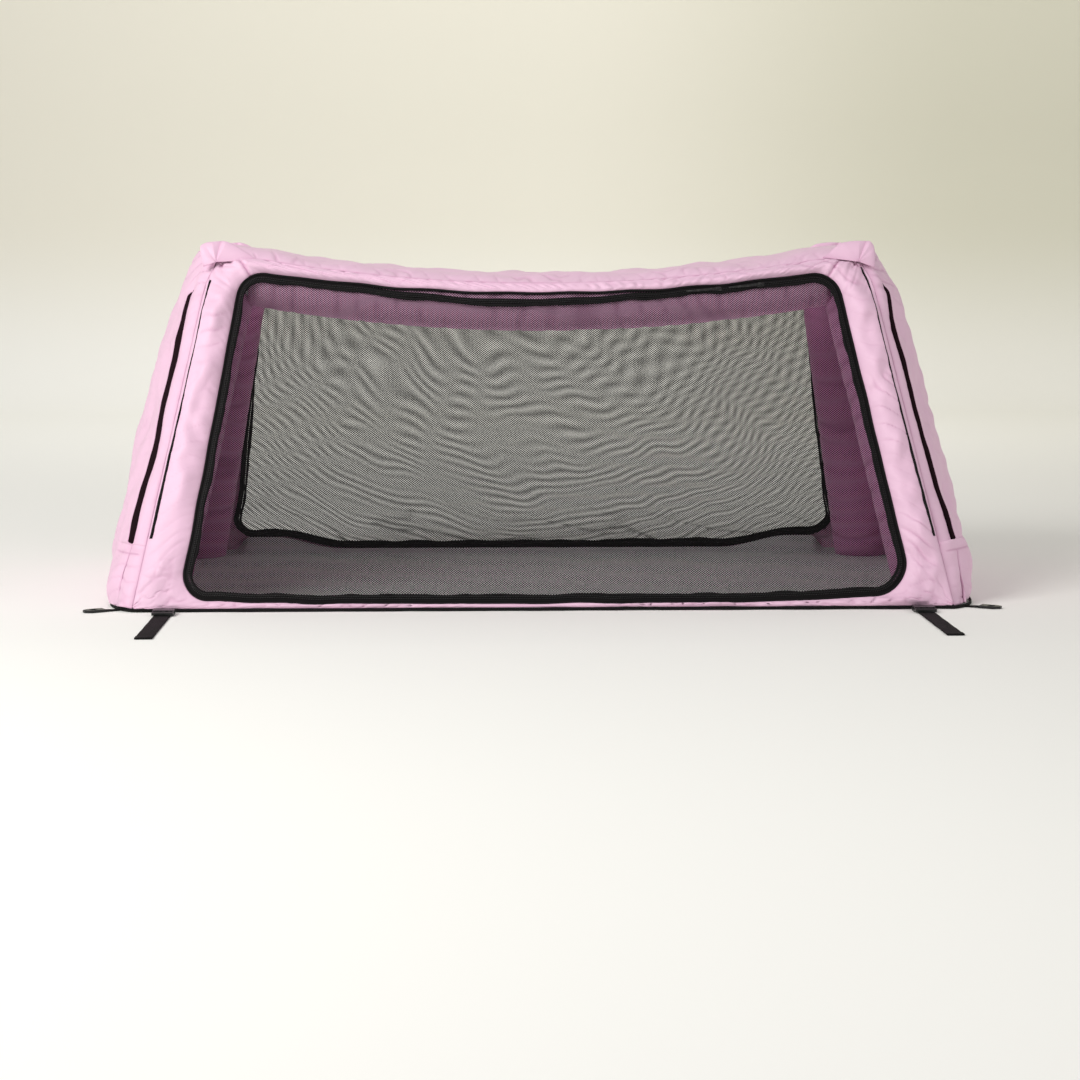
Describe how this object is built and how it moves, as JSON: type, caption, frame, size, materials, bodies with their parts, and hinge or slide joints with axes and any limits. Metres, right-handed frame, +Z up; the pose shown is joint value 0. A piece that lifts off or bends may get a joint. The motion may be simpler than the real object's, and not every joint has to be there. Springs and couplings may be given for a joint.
{
  "type": "inflatable travel bed",
  "caption": "Inflatable fabric sleeping cabin with leaning walls, a sagging roof, zipped mesh doors front and back, end zips and webbing tie-down straps.",
  "frame": {"origin": "Middle of the base, on the surface the bed stands on.", "axes": "+Z up, -Y towards the front door that the picture shows, +X to the right along the bed's length."},
  "size_m": [2.0956, 1.9458, 0.8277],
  "materials": {
    "pink_nylon": "satin woven nylon, light pink",
    "black_mesh": "open knitted mesh, black",
    "black_zip": "woven zip tape with a moulded coil, black",
    "black_webbing": "woven webbing, black",
    "black_acetal": "moulded plastic, black, satin",
    "airtight_film": "welded plastic film, pale grey"
  },
  "bodies": {
    "cabin": {"floor_panel": "pink_nylon", "base_binding": "black_webbing", "roof_panel": "pink_nylon", "front_wall": "pink_nylon", "front_header_panel": "pink_nylon", "front_zip_wall_tape": "black_zip", "front_beam_sleeve": "pink_nylon", "front_beam_bladder": "airtight_film", "back_wall": "pink_nylon", "back_zip_wall_tape": "black_zip", "back_beam_sleeve": "pink_nylon", "back_beam_bladder": "airtight_film", "left_end_wall": "pink_nylon", "left_arch_sleeve": "pink_nylon", "left_arch_bladder": "airtight_film", "left_front_end_zip": "black_zip", "left_back_end_zip": "black_zip", "front_left_hem_tab": "black_webbing", "front_left_buckle_socket": "black_acetal", "back_left_hem_tab": "black_webbing", "back_left_buckle_socket": "black_acetal", "right_end_wall": "pink_nylon", "right_arch_sleeve": "pink_nylon", "right_arch_bladder": "airtight_film", "right_front_end_zip": "black_zip", "right_back_end_zip": "black_zip", "front_right_hem_tab": "black_webbing", "front_right_buckle_socket": "black_acetal", "back_right_hem_tab": "black_webbing", "back_right_buckle_socket": "black_acetal"},
    "front_door": {"front_zip_door_tape": "black_zip", "front_mesh_door": "black_mesh"},
    "front_slider_1": {"front_slider_1": "black_acetal"},
    "front_pull_1": {"front_pull_1": "black_acetal"},
    "front_slider_2": {"front_slider_2": "black_acetal"},
    "front_pull_2": {"front_pull_2": "black_acetal"},
    "back_door": {"back_zip_door_tape": "black_zip", "back_mesh_door": "black_mesh"},
    "back_slider_1": {"back_slider_1": "black_acetal"},
    "back_pull_1": {"back_pull_1": "black_acetal"},
    "back_slider_2": {"back_slider_2": "black_acetal"},
    "back_pull_2": {"back_pull_2": "black_acetal"},
    "left_cap": {"left_valve_cap": "black_acetal"},
    "front_left_tie": {"front_left_buckle_plug": "black_acetal", "front_left_strap": "black_webbing"},
    "front_left_corner": {"front_left_corner_tab": "black_webbing", "front_left_corner_buckle": "black_acetal"},
    "back_left_tie": {"back_left_buckle_plug": "black_acetal", "back_left_strap": "black_webbing"},
    "back_left_corner": {"back_left_corner_tab": "black_webbing", "back_left_corner_buckle": "black_acetal"},
    "right_cap": {"right_valve_cap": "black_acetal"},
    "front_right_tie": {"front_right_buckle_plug": "black_acetal", "front_right_strap": "black_webbing"},
    "front_right_corner": {"front_right_corner_tab": "black_webbing", "front_right_corner_buckle": "black_acetal"},
    "back_right_tie": {"back_right_buckle_plug": "black_acetal", "back_right_strap": "black_webbing"},
    "back_right_corner": {"back_right_corner_tab": "black_webbing", "back_right_corner_buckle": "black_acetal"}
  },
  "joints": [
    {"name": "front_door_hinge", "type": "hinge", "parent": "cabin", "child": "front_door", "pos_m": [0, -0.56228, 0.02697], "axis": [1, 0, 0], "range_deg": [0, 111]},
    {"name": "front_slider_1_travel", "type": "hinge", "parent": "front_door", "child": "front_slider_1", "pos_m": [0, 1.37118, 4.63666], "axis": [0, -0.9224, 0.3862], "range_deg": [-14, 0.18]},
    {"name": "front_pull_1_flip", "type": "hinge", "parent": "front_slider_1", "child": "front_pull_1", "pos_m": [0.419, -0.27332, 0.72634], "axis": [-0.0966, 0.3844, 0.9181], "range_deg": [0, 170]},
    {"name": "front_slider_2_travel", "type": "hinge", "parent": "front_door", "child": "front_slider_2", "pos_m": [0, 1.37118, 4.63666], "axis": [0, -0.9224, 0.3862], "range_deg": [-0.18, 1.34]},
    {"name": "front_pull_2_flip", "type": "hinge", "parent": "front_slider_2", "child": "front_pull_2", "pos_m": [0.521, -0.26898, 0.73669], "axis": [-0.1178, 0.3835, 0.916], "range_deg": [0, 170]},
    {"name": "back_door_hinge", "type": "hinge", "parent": "cabin", "child": "back_door", "pos_m": [0, 0.56228, 0.02697], "axis": [-1, 0, 0], "range_deg": [0, 111]},
    {"name": "back_slider_1_travel", "type": "hinge", "parent": "back_door", "child": "back_slider_1", "pos_m": [0, -1.37118, 4.63666], "axis": [0, -0.9224, -0.3862], "range_deg": [-14, 0.18]},
    {"name": "back_pull_1_flip", "type": "hinge", "parent": "back_slider_1", "child": "back_pull_1", "pos_m": [0.419, 0.27332, 0.72634], "axis": [0.0966, 0.3844, -0.9181], "range_deg": [0, 170]},
    {"name": "back_slider_2_travel", "type": "hinge", "parent": "back_door", "child": "back_slider_2", "pos_m": [0, -1.37118, 4.63666], "axis": [0, -0.9224, -0.3862], "range_deg": [-0.18, 1.34]},
    {"name": "back_pull_2_flip", "type": "hinge", "parent": "back_slider_2", "child": "back_pull_2", "pos_m": [0.521, 0.26898, 0.73669], "axis": [0.1178, 0.3835, -0.916], "range_deg": [0, 170]},
    {"name": "left_cap_turn", "type": "hinge", "parent": "cabin", "child": "left_cap", "pos_m": [-0.9219, -0.38403, 0.25], "axis": [-1, 0, 0], "range_deg": [0, 360]},
    {"name": "front_left_release", "type": "slide", "parent": "cabin", "child": "front_left_tie", "axis": [0, -1, 0], "range_m": [0, 0.04]},
    {"name": "front_left_corner_fold", "type": "hinge", "parent": "cabin", "child": "front_left_corner", "pos_m": [-0.97564, -0.52887, 0.002], "axis": [-0.515, 0.8572, 0], "range_deg": [0, 60]},
    {"name": "back_left_release", "type": "slide", "parent": "cabin", "child": "back_left_tie", "axis": [0, 1, 0], "range_m": [0, 0.04]},
    {"name": "back_left_corner_fold", "type": "hinge", "parent": "cabin", "child": "back_left_corner", "pos_m": [-0.97564, 0.52887, 0.002], "axis": [0.515, 0.8572, 0], "range_deg": [0, 60]},
    {"name": "right_cap_turn", "type": "hinge", "parent": "cabin", "child": "right_cap", "pos_m": [0.9219, -0.38403, 0.25], "axis": [1, 0, 0], "range_deg": [0, 360]},
    {"name": "front_right_release", "type": "slide", "parent": "cabin", "child": "front_right_tie", "axis": [0, -1, 0], "range_m": [0, 0.04]},
    {"name": "front_right_corner_fold", "type": "hinge", "parent": "cabin", "child": "front_right_corner", "pos_m": [0.97564, -0.52887, 0.002], "axis": [-0.515, -0.8572, 0], "range_deg": [0, 60]},
    {"name": "back_right_release", "type": "slide", "parent": "cabin", "child": "back_right_tie", "axis": [0, 1, 0], "range_m": [0, 0.04]},
    {"name": "back_right_corner_fold", "type": "hinge", "parent": "cabin", "child": "back_right_corner", "pos_m": [0.97564, 0.52887, 0.002], "axis": [0.515, -0.8572, 0], "range_deg": [0, 60]}
  ]
}
